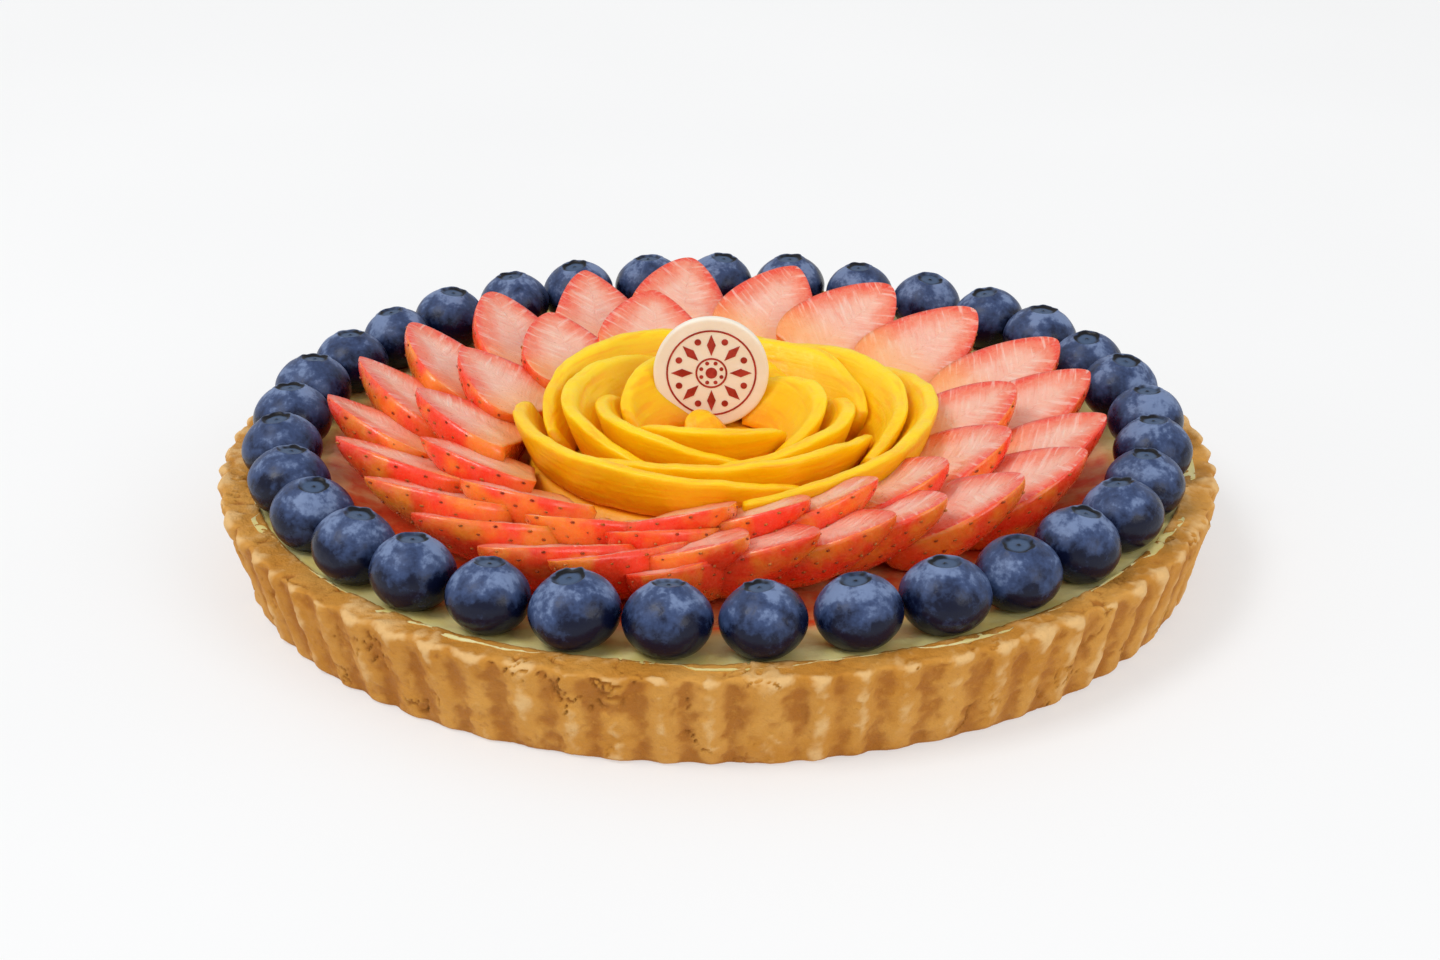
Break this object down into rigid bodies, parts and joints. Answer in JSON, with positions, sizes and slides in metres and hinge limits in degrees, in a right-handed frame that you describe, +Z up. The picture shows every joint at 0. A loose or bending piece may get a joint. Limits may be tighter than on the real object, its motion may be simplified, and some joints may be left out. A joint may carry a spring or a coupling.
{
  "type": "fruit tart",
  "caption": "Round fluted shortcrust tart filled with custard and topped with a blueberry border, pinwheel strawberry halves, a mango rose and an upright white chocolate disc",
  "frame": {"origin": "centre of the shell's flat underside", "axes": "+Z up out of the filling, -Y the front that the chocolate disc faces, X to the right of it"},
  "size_m": [0.2196, 0.2196, 0.0471],
  "materials": {
    "baked_crust": "matte, crumbly",
    "custard": "satin, moist",
    "blueberry_skin": "matte bloom over dark skin",
    "strawberry": "glossy skin, moist pale cut face",
    "mango_flesh": "moist, glossy",
    "white_chocolate": "satin"
  },
  "bodies": {
    "root": {"crust": "baked_crust", "custard": "custard", "chocolate_disc": "white_chocolate", "blueberry_01": "blueberry_skin", "blueberry_02": "blueberry_skin", "blueberry_03": "blueberry_skin", "blueberry_04": "blueberry_skin", "blueberry_05": "blueberry_skin", "blueberry_06": "blueberry_skin", "blueberry_07": "blueberry_skin", "blueberry_08": "blueberry_skin", "blueberry_09": "blueberry_skin", "blueberry_10": "blueberry_skin", "blueberry_11": "blueberry_skin", "blueberry_12": "blueberry_skin", "blueberry_13": "blueberry_skin", "blueberry_14": "blueberry_skin", "blueberry_15": "blueberry_skin", "blueberry_16": "blueberry_skin", "blueberry_17": "blueberry_skin", "blueberry_18": "blueberry_skin", "blueberry_19": "blueberry_skin", "blueberry_20": "blueberry_skin", "blueberry_21": "blueberry_skin", "blueberry_22": "blueberry_skin", "blueberry_23": "blueberry_skin", "blueberry_24": "blueberry_skin", "blueberry_25": "blueberry_skin", "blueberry_26": "blueberry_skin", "blueberry_27": "blueberry_skin", "blueberry_28": "blueberry_skin", "blueberry_29": "blueberry_skin", "blueberry_30": "blueberry_skin", "blueberry_31": "blueberry_skin", "blueberry_32": "blueberry_skin", "blueberry_33": "blueberry_skin", "strawberry_outer_1": "strawberry", "strawberry_outer_2": "strawberry", "strawberry_outer_3": "strawberry", "strawberry_outer_4": "strawberry", "strawberry_outer_5": "strawberry", "strawberry_outer_6": "strawberry", "strawberry_inner_1": "strawberry", "strawberry_inner_2": "strawberry", "strawberry_inner_3": "strawberry", "strawberry_inner_4": "strawberry", "mango_slice_01": "mango_flesh", "mango_slice_02": "mango_flesh", "mango_slice_03": "mango_flesh", "mango_slice_04": "mango_flesh", "mango_slice_05": "mango_flesh", "mango_slice_06": "mango_flesh", "mango_slice_07": "mango_flesh", "mango_slice_08": "mango_flesh", "mango_slice_09": "mango_flesh", "mango_slice_10": "mango_flesh", "mango_slice_11": "mango_flesh", "mango_slice_12": "mango_flesh", "mango_slice_13": "mango_flesh", "mango_slice_14": "mango_flesh"}
  },
  "joints": []
}
